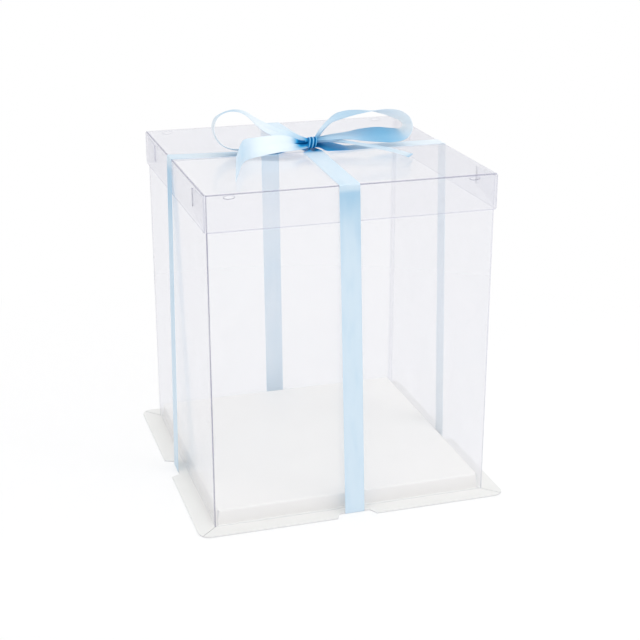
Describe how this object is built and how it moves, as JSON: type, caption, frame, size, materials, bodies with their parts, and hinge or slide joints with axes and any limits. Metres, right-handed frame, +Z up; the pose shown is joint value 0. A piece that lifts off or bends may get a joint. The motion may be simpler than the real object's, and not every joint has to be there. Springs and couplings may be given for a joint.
{
  "type": "cake box",
  "caption": "Tall square clear cake box: lift-off film lid and open sleeve on a raised white card base, tied with a satin ribbon and bow.",
  "frame": {"origin": "middle of the base's underside, on the table", "axes": "+Z up, the front of the box faces -Y, +X to the right of someone facing the front"},
  "size_m": [0.286, 0.286, 0.344],
  "materials": {
    "lid_film": "clear, glossy",
    "sleeve_film": "clear, glossy",
    "white_card": "matt white coated card",
    "satin_ribbon": "pale blue satin"
  },
  "bodies": {
    "base": {"base_platform": "white_card", "base_front_leg": "white_card", "base_right_leg": "white_card", "base_back_leg": "white_card", "base_left_leg": "white_card", "base_front_foot": "white_card", "base_right_foot": "white_card", "base_back_foot": "white_card", "base_left_foot": "white_card", "ribbon_under_cross": "satin_ribbon", "ribbon_under_long": "satin_ribbon"},
    "sleeve": {"sleeve_front_wall": "sleeve_film", "sleeve_back_wall": "sleeve_film", "sleeve_left_wall": "sleeve_film", "sleeve_right_wall": "sleeve_film", "sleeve_seam_flap": "sleeve_film"},
    "lid": {"lid_top_panel": "lid_film", "lid_front_skirt": "lid_film", "lid_back_skirt": "lid_film", "lid_left_skirt": "lid_film", "lid_right_skirt": "lid_film"},
    "front_left_tab": {"lid_front_left_tab": "lid_film"},
    "front_right_tab": {"lid_front_right_tab": "lid_film"},
    "back_left_tab": {"lid_back_left_tab": "lid_film"},
    "back_right_tab": {"lid_back_right_tab": "lid_film"},
    "ribbon": {"ribbon_top_cross": "satin_ribbon", "ribbon_top_long": "satin_ribbon", "ribbon_front_drop": "satin_ribbon", "ribbon_back_drop": "satin_ribbon", "ribbon_left_drop": "satin_ribbon", "ribbon_right_drop": "satin_ribbon", "bow_knot": "satin_ribbon", "bow_left_loop": "satin_ribbon", "bow_right_loop": "satin_ribbon", "bow_left_tail": "satin_ribbon", "bow_right_tail": "satin_ribbon"}
  },
  "joints": [
    {"name": "sleeve_lift", "type": "slide", "parent": "base", "child": "sleeve", "axis": [0, 0, 1], "range_m": [0, 0.32]},
    {"name": "lid_lift", "type": "slide", "parent": "sleeve", "child": "lid", "axis": [0, 0, 1], "range_m": [0, 0.1]},
    {"name": "ribbon_lift", "type": "slide", "parent": "lid", "child": "ribbon", "axis": [0, 0, 1], "range_m": [0, 0.32]},
    {"name": "front_left_tab_fold", "type": "hinge", "parent": "lid", "child": "front_left_tab", "pos_m": [-0.1289, -0.1284, 0.285], "axis": [0, 0, 1], "range_deg": [0, 90]},
    {"name": "front_right_tab_fold", "type": "hinge", "parent": "lid", "child": "front_right_tab", "pos_m": [0.1289, -0.1284, 0.285], "axis": [0, 0, -1], "range_deg": [0, 90]},
    {"name": "back_left_tab_fold", "type": "hinge", "parent": "lid", "child": "back_left_tab", "pos_m": [-0.1289, 0.1284, 0.285], "axis": [0, 0, -1], "range_deg": [0, 90]},
    {"name": "back_right_tab_fold", "type": "hinge", "parent": "lid", "child": "back_right_tab", "pos_m": [0.1289, 0.1284, 0.285], "axis": [0, 0, 1], "range_deg": [0, 90]}
  ]
}
